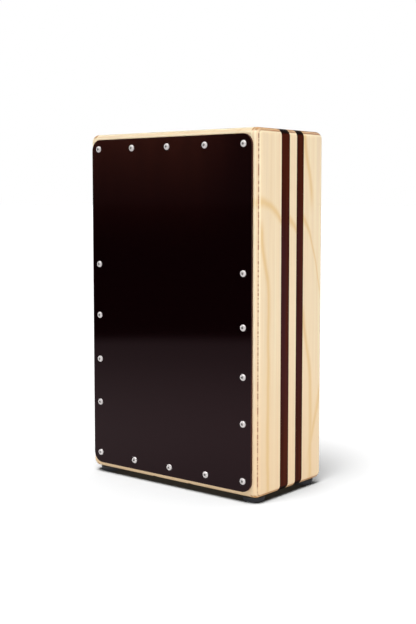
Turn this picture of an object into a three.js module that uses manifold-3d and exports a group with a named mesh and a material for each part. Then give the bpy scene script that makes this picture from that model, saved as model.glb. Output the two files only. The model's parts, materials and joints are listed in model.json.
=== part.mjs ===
// Travel cajon: a slim box drum that is played sitting down. Plywood panels with two dark stripes let
// into each side, a thin front plate (the tapa) on screws, a round sound hole in the back, rubber feet,
// and inside, guitar strings that lie against the tapa and are tightened from under the box.
// Millimetres, +Z up. The tapa faces -Y, and left is -X. The origin lies on the ground, under the middle
// of the whole drum.

import * as THREE from 'three';
import { RoundedBoxGeometry } from 'three/addons/geometries/RoundedBoxGeometry.js';
import { mergeVertices } from 'three/addons/utils/BufferGeometryUtils.js';
import Module from 'manifold-3d';

const wasm = await Module();
wasm.setup();

// Box of plywood panels
const boxWidth = 300;
const boxDepth = 152;
const boxHeight = 480;
const edgeRadius = 10;
const panelThickness = 12;
const backPanelThickness = 5;
const rebateWidth = 5;
const soundHoleDiameter = 110;
const soundHoleHeight = 250;
const soundHoleRounding = 1.5;

// Dark stripes, each with its distance from the box's front edge to its own front edge
const stripeDepth = 9.5;
const frontStripeWidth = 18.5;
const frontStripeSetback = 51;
const rearStripeWidth = 16;
const rearStripeSetback = 86;

// Battens of the front frame
const battenSize = 18;

// Tapa
const tapaThickness = 3;
const tapaSideMargin = 8;
const tapaEndMargin = 8;
const tapaCornerRadius = 15;

// Screws of the tapa: pan heads, in rows along the middle of the battens. They were set by eye, so the rows
// are not quite even, and the bottom row's ends lie a little above its line.
const tapaScrewHeadDiameter = 8.8;
const tapaScrewHeadHeight = 2.2;
const tapaScrewDiameter = 3.5;
const tapaScrewLength = 16;
const topRowShares = [0, 0.247, 0.497, 0.752, 1];
const bottomRowShares = [0, 0.257, 0.509, 0.758, 1];
const bottomRiseShares = [0.0045, 0, 0, 0, 0.003];
const leftRowShares = [0.173, 0.316, 0.461, 0.628];
const rightRowShares = [0.175, 0.315, 0.462, 0.622];

// Small wood screws inside and under the box
const smallScrewHeadDiameter = 6.6;
const smallScrewHeadHeight = 2;
const smallScrewDiameter = 3;
const smallScrewLength = 12;
const barScrewLength = 24;

// Outline of every pan head, as shares of its radius and height
const crownRadiusShare = 0.7;
const crownHeightShare = 0.85;
const rimHeightShare = 0.3;

// Rubber feet, each set in from both faces of its corner
const footDiameter = 30;
const footHeight = 7;
const footInset = 20;
const footTaper = 1;
const footRounding = 1.5;
const footRecessDiameter = 11;
const footRecessDepth = 3.6;

// Snare strings, in two pairs that spread from a carriage at the bottom to a bar at the top
const stringDiameter = 1;
const stringOffset = 6;
const stringSpread = 22;
const anchorSetback = 3.2;
const ballDiameter = 4;
const ballLength = 3.4;

// Wooden bar that holds the strings' upper ends
const barHeight = 12;
const barDepth = 15;
const barEndMargin = 8;
const ballPocketDepth = 4.6;

// Brass carriages that hold the strings' lower ends
const carriageWidth = 20;
const carriageHeight = 10;
const carriageLift = 8;
const carriageChamfer = 1;
const slackTravel = 3.2;

// Adjuster screws, turned with a hex key from under the box
const adjusterX = 32;
const adjusterDiameter = 5;
const adjusterHeadDiameter = 8.5;
const adjusterHeadHeight = 5;
const adjusterThreadSpare = 3;
const adjusterChamfer = 0.6;
const socketAcrossFlats = 4;
const socketDepth = 2.6;
const washerDiameter = 10;
const washerThickness = 1;
const counterboreDepth = 8;

// Steel plate whose tabs guide the carriages
const plateThickness = 1.5;
const plateDrop = 14;
const plateStep = 3;
const plateRise = 26;
const plateCornerRadius = 3;
const plateScrewOffset = 16;
const plateEndMargin = 7;
const tabSetback = 3;

// Fits: the gap at every seat, the wider gap to the tapa, and the overrun of cuts
const seatGap = 0.3;
const tapaGap = 0.6;
const overrun = 4;

// Faces in a round form, and the distance at which two points are one
const edgeFacets = 4;
const roundingFacets = 2;
const holeSides = 12;
const hexSides = 6;
const soundHoleSides = 64;
const footSides = 28;
const screwSides = 10;
const stringSides = 6;
const cornerSides = 6;
const weldDistance = 0.001;

// Places worked out in the box's own frame: x from the middle, y back from the box's front edges,
// z up from the box's underside
const innerHalfWidth = boxWidth / 2 - panelThickness;
const innerTop = boxHeight - panelThickness;
const battenTop = panelThickness + battenSize;
const battenMiddle = battenSize / 2;
const screwLine = panelThickness + battenMiddle;
const screwHalfSpan = boxWidth / 2 - screwLine;
const screwRise = boxHeight - 2 * screwLine;
const backPanelFront = boxDepth - backPanelThickness;
const rebateHalfWidth = innerHalfWidth + rebateWidth;
const rebateBottom = panelThickness - rebateWidth;
const rebateTop = innerTop + rebateWidth;
const stringY = seatGap + stringDiameter / 2;
const anchorY = stringY + anchorSetback;
const barTop = innerTop - battenSize;
const barBottom = barTop - barHeight;
const barScrewY = tapaGap + anchorY + (barDepth - anchorY) / 2;
const carriageBottom = battenTop + carriageLift;
const carriageTop = carriageBottom + carriageHeight;
const carriageBack = battenSize - seatGap;
const adjusterSeat = counterboreDepth - washerThickness - seatGap;
const adjusterTip = carriageTop + slackTravel + adjusterThreadSpare;
const plateScrewHeight = battenTop - plateDrop / 2;
const plateHalfLength = adjusterX + plateScrewOffset + plateEndMargin;
const footBore = smallScrewDiameter / 2 + seatGap;

const sides = { left: -1, right: 1 };

// Axis change that stands a form up: its y becomes z, its z becomes -y
const standUp = new THREE.Matrix4().set(1, 0, 0, 0, 0, 0, -1, 0, 0, 1, 0, 0, 0, 0, 0, 1);

// A geometry as a closed solid that can be joined and cut
function solid(geometry) {
  const bare = geometry.clone();
  bare.deleteAttribute('normal');
  bare.deleteAttribute('uv');
  const welded = mergeVertices(bare, weldDistance);
  const corners = welded.index.array;
  const kept = [];
  for (let i = 0; i < corners.length; i += 3) {
    const [a, b, c] = [corners[i], corners[i + 1], corners[i + 2]];
    if (a !== b && b !== c && c !== a) kept.push(a, b, c);
  }
  return new wasm.Manifold(new wasm.Mesh({
    numProp: 3,
    vertProperties: new Float32Array(welded.attributes.position.array),
    triVerts: new Uint32Array(kept),
  }));
}

// A solid back as a geometry
function surface(shape) {
  const mesh = shape.getMesh();
  const geometry = new THREE.BufferGeometry();
  geometry.setAttribute('position', new THREE.BufferAttribute(mesh.vertProperties, 3));
  geometry.setIndex(new THREE.BufferAttribute(mesh.triVerts, 1));
  geometry.computeVertexNormals();
  return geometry;
}

// A block between two values of x, of y and of z
function block([x0, x1], [y0, y1], [z0, z1]) {
  const geometry = new THREE.BoxGeometry(Math.abs(x1 - x0), y1 - y0, z1 - z0);
  geometry.translate((x0 + x1) / 2, (y0 + y1) / 2, (z0 + z1) / 2);
  return solid(geometry);
}

// A round rod from one point to another
function rod(from, to, radius, sideCount) {
  const along = to.clone().sub(from);
  const geometry = new THREE.CylinderGeometry(radius, radius, along.length(), sideCount);
  const turn = new THREE.Quaternion().setFromUnitVectors(new THREE.Vector3(0, 1, 0), along.clone().normalize());
  geometry.applyQuaternion(turn);
  const middle = from.clone().add(to).divideScalar(2);
  geometry.translate(middle.x, middle.y, middle.z);
  return solid(geometry);
}

// A hole to cut: a rod that runs on past both points
function bore(from, to, radius) {
  const beyond = to.clone().sub(from).setLength(overrun);
  return rod(from.clone().sub(beyond), to.clone().add(beyond), radius, holeSides);
}

// A hole that ends in the wood: it runs on past its mouth only
function pilot(mouth, end, radius) {
  const beyond = end.clone().sub(mouth).setLength(overrun);
  const deeper = end.clone().sub(mouth).setLength(seatGap);
  return rod(mouth.clone().sub(beyond), end.clone().add(deeper), radius, holeSides);
}

// A rectangle with round corners
function roundedRectangle(x0, x1, y0, y1, radius) {
  const outline = new THREE.Shape();
  outline.absarc(x1 - radius, y0 + radius, radius, -Math.PI / 2, 0);
  outline.absarc(x1 - radius, y1 - radius, radius, 0, Math.PI / 2);
  outline.absarc(x0 + radius, y1 - radius, radius, Math.PI / 2, Math.PI);
  outline.absarc(x0 + radius, y0 + radius, radius, Math.PI, Math.PI * 3 / 2);
  outline.closePath();
  return outline;
}

// An upright sheet: its outline lies in x and z, and it reaches back from y = 0 by its thickness
function uprightSheet(outline, thickness) {
  const settings = { depth: thickness, bevelEnabled: false, curveSegments: cornerSides };
  const geometry = new THREE.ExtrudeGeometry(outline, settings);
  geometry.applyMatrix4(standUp);
  geometry.translate(0, thickness, 0);
  return geometry;
}

// A turned form from its half outline of [radius, height] points, from the bottom up
function turned(points, sideCount) {
  const outline = points.map(([radius, height]) => new THREE.Vector2(radius, height));
  return new THREE.LatheGeometry(outline, sideCount);
}

// The same form with its axis upright
function turnedUpright(points, sideCount) {
  return turned(points, sideCount).applyMatrix4(standUp);
}

const drum = new THREE.Group();
const overallDepth = tapaScrewHeadHeight + tapaThickness + boxDepth;
drum.position.set(0, tapaScrewHeadHeight + tapaThickness - overallDepth / 2, footHeight);

function finish(color, roughness, metalness) {
  return () => new THREE.MeshStandardMaterial({ color, roughness, metalness });
}

const birchPly = finish(0xead3a9, 0.5, 0);
const darkWood = finish(0x481d15, 0.4, 0);
const blackLacquer = finish(0x1c0d0c, 0.18, 0);
const spruce = finish(0xd9b984, 0.7, 0);
const beech = finish(0xc69a6d, 0.6, 0);
const zincSteel = finish(0xc8c9c8, 0.35, 1);
const plainSteel = finish(0x9a9da0, 0.4, 1);
const brass = finish(0xc9a24b, 0.35, 1);
const blackRubber = finish(0x232325, 0.85, 0);

// Puts a named piece into the drum
function add(name, geometry, material, x = 0, y = 0, z = 0) {
  const mesh = new THREE.Mesh(geometry, material());
  mesh.name = name;
  mesh.position.set(x, y, z);
  drum.add(mesh);
  return mesh;
}

// Outer form of the glued box, with all its edges rounded; each panel is a slice of it
const boxForm = new RoundedBoxGeometry(boxWidth, boxDepth, boxHeight, edgeFacets, edgeRadius);
boxForm.translate(0, boxDepth / 2, boxHeight / 2);
const boxHull = solid(boxForm);
const throughDepth = [-overrun, boxDepth + overrun];
const throughHeight = [-overrun, boxHeight + overrun];

// From the inner side of a side panel, or from a depth in it, out past its face
function outwardFrom(side, x) {
  return [side * x, side * (boxWidth / 2 + overrun)];
}

const stripes = {
  front: [frontStripeSetback, frontStripeSetback + frontStripeWidth],
  rear: [rearStripeSetback, rearStripeSetback + rearStripeWidth],
};

function addSidePanel(sideName, side) {
  const rebate = block(
    [side * (innerHalfWidth - overrun), side * rebateHalfWidth],
    [backPanelFront, boxDepth + overrun],
    [rebateBottom, rebateTop],
  );
  let panel = boxHull
    .intersect(block(outwardFrom(side, innerHalfWidth), throughDepth, throughHeight))
    .subtract(rebate);
  for (const [stripeName, stripe] of Object.entries(stripes)) {
    const groove = block(outwardFrom(side, boxWidth / 2 - stripeDepth), stripe, throughHeight);
    panel = panel.subtract(groove);
    add(`${sideName}_${stripeName}_stripe`, surface(boxHull.intersect(groove)), darkWood);
  }
  add(`${sideName}_side_panel`, surface(panel), birchPly);
}

function addTopPanel() {
  const rebate = block(
    [-innerHalfWidth - overrun, innerHalfWidth + overrun],
    [backPanelFront, boxDepth + overrun],
    [innerTop - overrun, rebateTop],
  );
  const slice = block([-innerHalfWidth, innerHalfWidth], throughDepth, [innerTop, boxHeight + overrun]);
  add('top_panel', surface(boxHull.intersect(slice).subtract(rebate)), birchPly);
}

// Middles of the four feet
function footPlaces() {
  const places = [];
  for (const [sideName, side] of Object.entries(sides)) {
    const x = side * (boxWidth / 2 - footInset);
    places.push({ name: `front_${sideName}_foot`, x, y: footInset });
    places.push({ name: `rear_${sideName}_foot`, x, y: boxDepth - footInset });
  }
  return places;
}

const footScrewSeat = footRecessDepth - footHeight;
const footScrewTip = footScrewSeat + smallScrewLength;

function addBottomPanel() {
  const rebate = block(
    [-innerHalfWidth - overrun, innerHalfWidth + overrun],
    [backPanelFront, boxDepth + overrun],
    [rebateBottom, panelThickness + overrun],
  );
  const slice = block([-innerHalfWidth, innerHalfWidth], throughDepth, [-overrun, panelThickness]);
  let panel = boxHull.intersect(slice).subtract(rebate);
  for (const { x, y } of footPlaces()) {
    const mouth = new THREE.Vector3(x, y, 0);
    panel = panel.subtract(pilot(mouth, new THREE.Vector3(x, y, footScrewTip), footBore));
  }
  for (const side of Object.values(sides)) {
    const x = side * adjusterX;
    const underside = new THREE.Vector3(x, battenMiddle, 0);
    const shelf = new THREE.Vector3(x, battenMiddle, counterboreDepth);
    const above = new THREE.Vector3(x, battenMiddle, panelThickness);
    const below = new THREE.Vector3(x, battenMiddle, -overrun);
    panel = panel.subtract(bore(underside, above, adjusterDiameter / 2 + seatGap));
    panel = panel.subtract(rod(below, shelf, washerDiameter / 2 + seatGap, holeSides));
  }
  add('bottom_panel', surface(panel), birchPly);
}

// The sound hole to cut: it widens at both faces of the back panel, where the hole's edges are rounded
function soundHoleForm() {
  const mouthRadius = soundHoleDiameter / 2 + soundHoleRounding;
  const frontEdge = [];
  const rearEdge = [];
  for (let i = 0; i <= roundingFacets; i += 1) {
    const angle = (i / roundingFacets) * (Math.PI / 2);
    const radius = mouthRadius - soundHoleRounding * Math.sin(angle);
    const depth = soundHoleRounding * (1 - Math.cos(angle));
    frontEdge.push([radius, backPanelFront + depth]);
    rearEdge.unshift([radius, boxDepth - depth]);
  }
  return turned([
    [0, backPanelFront - overrun],
    [mouthRadius, backPanelFront - overrun],
    ...frontEdge,
    ...rearEdge,
    [mouthRadius, boxDepth + overrun],
    [0, boxDepth + overrun],
  ], soundHoleSides).translate(0, 0, soundHoleHeight);
}

function addBackPanel() {
  const slice = block(
    [-rebateHalfWidth, rebateHalfWidth],
    [backPanelFront, boxDepth + overrun],
    [rebateBottom, rebateTop],
  );
  const panel = boxHull.intersect(slice).subtract(solid(soundHoleForm()));
  add('back_panel', surface(panel), birchPly);
}

// Places of the tapa's screws: one row along each batten, the corners shared
function tapaScrewPlaces() {
  const places = [];
  function place(row, index, acrossShare, riseShare) {
    const x = screwHalfSpan * (2 * acrossShare - 1);
    const z = screwLine + screwRise * riseShare;
    places.push({ name: `tapa_screw_${row}_${index + 1}`, row, x, z });
  }
  for (const [index, share] of topRowShares.entries()) place('top', index, share, 1);
  for (const [index, share] of bottomRowShares.entries()) place('bottom', index, share, bottomRiseShares[index]);
  for (const [index, share] of leftRowShares.entries()) place('left', index, 0, share);
  for (const [index, share] of rightRowShares.entries()) place('right', index, 1, share);
  return places;
}

function addTapa() {
  const outline = roundedRectangle(
    tapaSideMargin - boxWidth / 2,
    boxWidth / 2 - tapaSideMargin,
    tapaEndMargin,
    boxHeight - tapaEndMargin,
    tapaCornerRadius,
  );
  for (const { x, z } of tapaScrewPlaces()) {
    const hole = new THREE.Path();
    hole.absarc(x, z, tapaScrewDiameter / 2 + seatGap, 0, Math.PI * 2, true);
    outline.holes.push(hole);
  }
  add('tapa', uprightSheet(outline, tapaThickness), blackLacquer, 0, -tapaThickness, 0);
}

// The tapa's screws reach this far into the battens
const tapaScrewBite = tapaScrewLength - tapaThickness;

// Holes that the tapa's screws make in a batten
function cutTapaScrewHoles(batten, isHere) {
  let cut = batten;
  for (const { x, z } of tapaScrewPlaces().filter(isHere)) {
    const mouth = new THREE.Vector3(x, 0, z);
    const end = new THREE.Vector3(x, tapaScrewBite, z);
    cut = cut.subtract(pilot(mouth, end, tapaScrewDiameter / 2 + seatGap));
  }
  return cut;
}

function addUprightBatten(sideName, side) {
  const span = [side * innerHalfWidth, side * (innerHalfWidth - battenSize)];
  const batten = block(span, [0, battenSize], [panelThickness, innerTop]);
  const cut = cutTapaScrewHoles(batten, ({ x }) => x === side * screwHalfSpan);
  add(`${sideName}_front_batten`, surface(cut), spruce);
}

const crossHalfLength = innerHalfWidth - battenSize;

// Holes that the plate's screws make in the bottom batten, left and right of each adjuster
function plateScrewPlaces() {
  const places = [];
  for (const [sideName, side] of Object.entries(sides)) {
    const inner = side * (adjusterX - plateScrewOffset);
    const outer = side * (adjusterX + plateScrewOffset);
    places.push({ name: `plate_screw_${sideName}_inner`, x: inner });
    places.push({ name: `plate_screw_${sideName}_outer`, x: outer });
  }
  return places;
}

function addCrossBattens() {
  const span = [-crossHalfLength, crossHalfLength];
  const isBetweenSides = ({ x }) => Math.abs(x) < crossHalfLength;
  const isLow = (place) => isBetweenSides(place) && place.row === 'bottom';
  const isHigh = (place) => isBetweenSides(place) && place.row === 'top';

  let bottom = cutTapaScrewHoles(block(span, [0, battenSize], [panelThickness, battenTop]), isLow);
  for (const side of Object.values(sides)) {
    const from = new THREE.Vector3(side * adjusterX, battenMiddle, panelThickness);
    const to = new THREE.Vector3(side * adjusterX, battenMiddle, battenTop);
    bottom = bottom.subtract(bore(from, to, adjusterDiameter / 2 + seatGap));
  }
  for (const { x } of plateScrewPlaces()) {
    const mouth = new THREE.Vector3(x, battenSize, plateScrewHeight);
    const end = new THREE.Vector3(x, battenSize + plateThickness - smallScrewLength, plateScrewHeight);
    bottom = bottom.subtract(pilot(mouth, end, smallScrewDiameter / 2 + seatGap));
  }
  add('bottom_front_batten', surface(bottom), spruce);

  let top = cutTapaScrewHoles(block(span, [0, battenSize], [barTop, innerTop]), isHigh);
  for (const side of Object.values(sides)) {
    const mouth = new THREE.Vector3(side * adjusterX, barScrewY, barTop);
    const end = new THREE.Vector3(side * adjusterX, barScrewY, barBottom + barScrewLength);
    top = top.subtract(pilot(mouth, end, smallScrewDiameter / 2 + seatGap));
  }
  add('top_front_batten', surface(top), spruce);
}

// A pan-head screw: its head's seat is at y = 0, its head below that and its shank above
function screwGeometry(headDiameter, headHeight, shankDiameter, length) {
  const headRadius = headDiameter / 2;
  const shankRadius = shankDiameter / 2;
  return turned([
    [0, -headHeight],
    [headRadius * crownRadiusShare, -headHeight * crownHeightShare],
    [headRadius, -headHeight * rimHeightShare],
    [headRadius, 0],
    [shankRadius, 0],
    [shankRadius, length - shankDiameter],
    [0, length],
  ], screwSides);
}

function addTapaScrews() {
  for (const { name, x, z } of tapaScrewPlaces()) {
    const geometry = screwGeometry(
      tapaScrewHeadDiameter,
      tapaScrewHeadHeight,
      tapaScrewDiameter,
      tapaScrewLength - seatGap,
    );
    add(name, geometry, zincSteel, x, -tapaThickness, z);
  }
}

function smallScrew(length) {
  return screwGeometry(smallScrewHeadDiameter, smallScrewHeadHeight, smallScrewDiameter, length - seatGap);
}

// A rubber foot with a screw in its recess; its top lies against the box's underside
function addFeet() {
  const lowRadius = footDiameter / 2 - footTaper;
  for (const { name, x, y } of footPlaces()) {
    const geometry = turnedUpright([
      [footBore, footScrewSeat],
      [footRecessDiameter / 2, footScrewSeat],
      [footRecessDiameter / 2, -footHeight],
      [lowRadius - footRounding, -footHeight],
      [lowRadius, footRounding - footHeight],
      [footDiameter / 2, -footRounding],
      [footDiameter / 2 - footRounding, 0],
      [footBore, 0],
      [footBore, footScrewSeat],
    ], footSides);
    add(name, geometry, blackRubber, x, y, 0);
    const screw = add(`${name}_screw`, smallScrew(smallScrewLength), zincSteel, x, y, footScrewSeat);
    screw.rotation.x = Math.PI / 2;
  }
}

// The four strings' ends: x at the bar and x at the carriage
function stringPlaces() {
  const places = [];
  for (const [sideName, side] of Object.entries(sides)) {
    const inner = [side * (adjusterX - stringSpread), side * (adjusterX - stringOffset)];
    const outer = [side * (adjusterX + stringSpread), side * (adjusterX + stringOffset)];
    places.push({ name: `snare_string_${sideName}_inner`, topX: inner[0], lowX: inner[1] });
    places.push({ name: `snare_string_${sideName}_outer`, topX: outer[0], lowX: outer[1] });
  }
  return places;
}

// A string's route: from its ball end down through the bar, along the tapa, and back through the carriage
function stringRoute({ topX, lowX }) {
  return {
    ball: new THREE.Vector3(topX, anchorY, barTop - ballPocketDepth),
    barEdge: new THREE.Vector3(topX, stringY, barBottom),
    carriageEdge: new THREE.Vector3(lowX, stringY, carriageTop),
    sleeve: new THREE.Vector3(lowX, anchorY, carriageBottom),
  };
}

function addStrings() {
  const radius = stringDiameter / 2;
  const up = new THREE.Vector3(0, 0, 1);
  for (const place of stringPlaces()) {
    const { ball, barEdge, carriageEdge, sleeve } = stringRoute(place);
    const ballSeat = ball.clone().addScaledVector(up, seatGap);
    const ballTop = ballSeat.clone().addScaledVector(up, ballLength);
    const sleeveTop = sleeve.clone().addScaledVector(up, -seatGap);
    const sleeveEnd = sleeveTop.clone().addScaledVector(up, -ballLength);
    let string = rod(ballSeat, ballTop, ballDiameter / 2, stringSides)
      .add(rod(sleeveEnd, sleeveTop, ballDiameter / 2, stringSides));
    const stops = [ballTop, ball, barEdge, carriageEdge, sleeve, sleeveEnd];
    for (let i = 1; i < stops.length; i += 1) {
      string = string.add(rod(stops[i - 1], stops[i], radius, stringSides));
    }
    for (const bend of [ball, barEdge, carriageEdge, sleeve]) {
      const bead = new THREE.SphereGeometry(radius, stringSides, stringSides / 2);
      bead.translate(bend.x, bend.y, bend.z);
      string = string.add(solid(bead));
    }
    add(place.name, surface(string), plainSteel);
  }
}

function addStringBar() {
  const halfLength = adjusterX + stringSpread + barEndMargin;
  let bar = block([-halfLength, halfLength], [tapaGap, tapaGap + barDepth], [barBottom, barTop]);
  for (const place of stringPlaces()) {
    const { ball, barEdge } = stringRoute(place);
    const pocketMouth = new THREE.Vector3(ball.x, ball.y, barTop + overrun);
    bar = bar.subtract(rod(ball, pocketMouth, ballDiameter / 2 + seatGap, holeSides));
    bar = bar.subtract(bore(ball, barEdge, stringDiameter / 2 + seatGap));
  }
  for (const [sideName, side] of Object.entries(sides)) {
    const x = side * adjusterX;
    const low = new THREE.Vector3(x, barScrewY, barBottom);
    const high = new THREE.Vector3(x, barScrewY, barTop);
    bar = bar.subtract(bore(low, high, smallScrewDiameter / 2 + seatGap));
    const screw = add(`bar_screw_${sideName}`, smallScrew(barScrewLength), zincSteel, x, barScrewY, barBottom);
    screw.rotation.x = Math.PI / 2;
  }
  add('string_bar', surface(bar), beech);
}

// A socket-head screw that pulls its carriage down when it is tightened
function addAdjuster(sideName, side) {
  const headRadius = adjusterHeadDiameter / 2;
  const radius = adjusterDiameter / 2;
  const headLow = adjusterSeat - adjusterHeadHeight;
  const form = turnedUpright([
    [0, headLow],
    [headRadius - adjusterChamfer, headLow],
    [headRadius, headLow + adjusterChamfer],
    [headRadius, adjusterSeat],
    [radius, adjusterSeat],
    [radius, adjusterTip - adjusterChamfer],
    [radius - adjusterChamfer, adjusterTip],
    [0, adjusterTip],
  ], holeSides);
  const socketRadius = socketAcrossFlats / 2 / Math.cos(Math.PI / hexSides);
  const socketLow = new THREE.Vector3(0, 0, headLow - overrun);
  const socketEnd = new THREE.Vector3(0, 0, headLow + socketDepth);
  const socket = rod(socketLow, socketEnd, socketRadius, hexSides);
  const adjuster = surface(solid(form).subtract(socket));
  add(`string_adjuster_${sideName}`, adjuster, plainSteel, side * adjusterX, battenMiddle, 0);

  const washerRadius = washerDiameter / 2;
  const washerBore = radius + seatGap;
  const washer = turnedUpright([
    [washerBore, counterboreDepth - washerThickness],
    [washerRadius, counterboreDepth - washerThickness],
    [washerRadius, counterboreDepth],
    [washerBore, counterboreDepth],
    [washerBore, counterboreDepth - washerThickness],
  ], holeSides);
  add(`adjuster_washer_${sideName}`, washer, zincSteel, side * adjusterX, battenMiddle, 0);
}

// A brass block on the adjuster's thread, with a slanted hole for each of its two strings
function addCarriage(sideName, side) {
  const outline = new THREE.Shape();
  const halfWidth = carriageWidth / 2;
  outline.moveTo(carriageChamfer - halfWidth, 0);
  outline.lineTo(halfWidth - carriageChamfer, 0);
  outline.lineTo(halfWidth, carriageChamfer);
  outline.lineTo(halfWidth, carriageHeight - carriageChamfer);
  outline.lineTo(halfWidth - carriageChamfer, carriageHeight);
  outline.lineTo(carriageChamfer - halfWidth, carriageHeight);
  outline.lineTo(-halfWidth, carriageHeight - carriageChamfer);
  outline.lineTo(-halfWidth, carriageChamfer);
  outline.closePath();
  const form = uprightSheet(outline, carriageBack - tapaGap);
  form.translate(side * adjusterX, tapaGap, carriageBottom);
  const threadLow = new THREE.Vector3(side * adjusterX, battenMiddle, carriageBottom);
  const threadHigh = new THREE.Vector3(side * adjusterX, battenMiddle, carriageTop);
  let carriage = solid(form).subtract(bore(threadLow, threadHigh, adjusterDiameter / 2 + seatGap));
  for (const place of stringPlaces().filter(({ lowX }) => Math.sign(lowX) === side)) {
    const { carriageEdge, sleeve } = stringRoute(place);
    carriage = carriage.subtract(bore(carriageEdge, sleeve, stringDiameter / 2 + seatGap));
  }
  add(`string_carriage_${sideName}`, surface(carriage), brass);
}

// A low strip on the bottom batten's back, an upright behind each carriage, and a tab at each of its sides
function addTensionerPlate() {
  const tabInner = carriageWidth / 2 + seatGap;
  const tabOuter = tabInner + plateThickness;
  const plateTop = battenTop + plateRise;
  const outer = plateHalfLength;
  const low = battenTop - plateDrop;
  const strip = roundedRectangle(-outer, outer, low, battenTop + plateStep, plateCornerRadius);
  let plate = solid(uprightSheet(strip, plateThickness).translate(0, battenSize, 0));
  for (const side of Object.values(sides)) {
    const middle = side * adjusterX;
    const upright = roundedRectangle(
      middle - tabOuter,
      middle + tabOuter,
      battenTop - plateCornerRadius,
      plateTop,
      plateCornerRadius,
    );
    plate = plate.add(solid(uprightSheet(upright, plateThickness).translate(0, battenSize, 0)));
    for (const edge of Object.values(sides)) {
      const span = [middle + edge * tabInner, middle + edge * tabOuter];
      const depth = [tabSetback, battenSize + plateThickness];
      plate = plate.add(block(span, depth, [battenTop + seatGap, plateTop - plateCornerRadius]));
    }
  }
  for (const { name, x } of plateScrewPlaces()) {
    const from = new THREE.Vector3(x, battenSize, plateScrewHeight);
    const to = new THREE.Vector3(x, battenSize + plateThickness, plateScrewHeight);
    plate = plate.subtract(bore(from, to, smallScrewDiameter / 2 + seatGap));
    const seat = battenSize + plateThickness;
    const screw = add(name, smallScrew(smallScrewLength), zincSteel, x, seat, plateScrewHeight);
    screw.rotation.x = Math.PI;
  }
  add('tensioner_plate', surface(plate), plainSteel);
}

addTapa();
addTapaScrews();
for (const [sideName, side] of Object.entries(sides)) {
  addSidePanel(sideName, side);
  addUprightBatten(sideName, side);
  addAdjuster(sideName, side);
  addCarriage(sideName, side);
}
addTopPanel();
addBottomPanel();
addBackPanel();
addCrossBattens();
addFeet();
addStringBar();
addStrings();
addTensionerPlate();

export default drum;
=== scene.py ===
# %% [markdown]
# # A travel cajon
# A cajon is a wooden box that a player sits on and strikes with the hands. This one is slim, to travel
# well. Its sides are pale birch plywood with two dark stripes let into each, its front plate (the tapa)
# is dark, glossy and held by pan-head screws, and guitar strings lie against the tapa inside.
# The solids of the model come in ready made. Here each one gets its real finish, and the ones with curved
# or moulded forms are modelled anew, finer, in the same place.

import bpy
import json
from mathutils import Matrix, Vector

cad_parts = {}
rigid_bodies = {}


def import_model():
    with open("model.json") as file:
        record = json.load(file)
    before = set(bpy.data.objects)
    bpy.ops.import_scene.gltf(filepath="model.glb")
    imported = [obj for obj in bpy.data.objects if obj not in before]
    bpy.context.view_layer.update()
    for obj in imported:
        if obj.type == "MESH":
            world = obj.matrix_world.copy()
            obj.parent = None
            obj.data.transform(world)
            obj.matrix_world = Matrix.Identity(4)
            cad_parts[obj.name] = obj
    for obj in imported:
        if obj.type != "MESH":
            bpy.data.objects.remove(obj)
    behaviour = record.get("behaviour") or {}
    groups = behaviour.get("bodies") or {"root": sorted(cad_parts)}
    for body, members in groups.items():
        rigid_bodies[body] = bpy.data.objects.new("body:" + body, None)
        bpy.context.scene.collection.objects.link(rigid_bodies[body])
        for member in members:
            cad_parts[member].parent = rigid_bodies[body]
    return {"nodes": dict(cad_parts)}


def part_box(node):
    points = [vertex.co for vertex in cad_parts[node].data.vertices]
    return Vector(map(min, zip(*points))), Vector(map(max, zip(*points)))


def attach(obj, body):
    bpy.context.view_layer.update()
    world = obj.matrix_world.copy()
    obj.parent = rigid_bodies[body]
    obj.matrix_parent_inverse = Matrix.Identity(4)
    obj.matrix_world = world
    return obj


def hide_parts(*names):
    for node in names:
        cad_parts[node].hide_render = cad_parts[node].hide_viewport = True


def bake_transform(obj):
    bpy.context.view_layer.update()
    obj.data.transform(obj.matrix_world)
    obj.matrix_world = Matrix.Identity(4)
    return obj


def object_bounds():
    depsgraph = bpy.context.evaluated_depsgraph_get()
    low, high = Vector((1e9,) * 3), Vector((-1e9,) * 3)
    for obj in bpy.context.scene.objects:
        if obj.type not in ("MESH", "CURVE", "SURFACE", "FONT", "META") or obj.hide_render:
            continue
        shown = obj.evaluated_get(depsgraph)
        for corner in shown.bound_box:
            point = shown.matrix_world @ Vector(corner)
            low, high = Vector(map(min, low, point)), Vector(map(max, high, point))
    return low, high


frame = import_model()
solid_low, solid_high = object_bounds()

# %% [markdown]
# ## Modules and the unit
# Blender counts in metres, and a maker in millimetres. Lengths below are in millimetres, and one named
# number turns them into metres where Blender needs that.

# %% Blender's modules, and the unit
import json
import math

import bmesh
import bpy
from mathutils import Matrix, Vector

MM = 0.001

# %% [markdown]
# ## The camera
# The drum is seen from its front right corner, a little above the middle, from about a metre and a half.
# A camera can be placed by eye, by an empty it looks at, or by numbers. Numbers are best here: they were
# worked out from the drum's corners, so the edges lean and shorten as they do in a photograph. The lens is
# shifted down a little, as on a view camera, which shows the floor without tilting further.

# %% Camera
def add_object(name, data):
    """Puts a camera, a lamp or a mesh into the scene as an object."""
    made = bpy.data.objects.new(name, data)
    bpy.context.scene.collection.objects.link(made)
    return made


eye = Vector((0.9618, -1.1725, 0.3945))
pitch_down = math.radians(4.66)
turn = math.radians(39.11)
frame_height = 36
focal_share = 1.7245
shift_share = -0.039

camera_data = bpy.data.cameras.new("camera")
camera_data.sensor_width = frame_height
camera_data.lens = frame_height * focal_share
camera_data.shift_y = shift_share
camera = add_object("camera", camera_data)
camera.location = eye
camera.rotation_euler = (math.pi / 2 - pitch_down, 0, turn)
bpy.context.scene.camera = camera
print("camera at", [round(value, 3) for value in eye])

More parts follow.
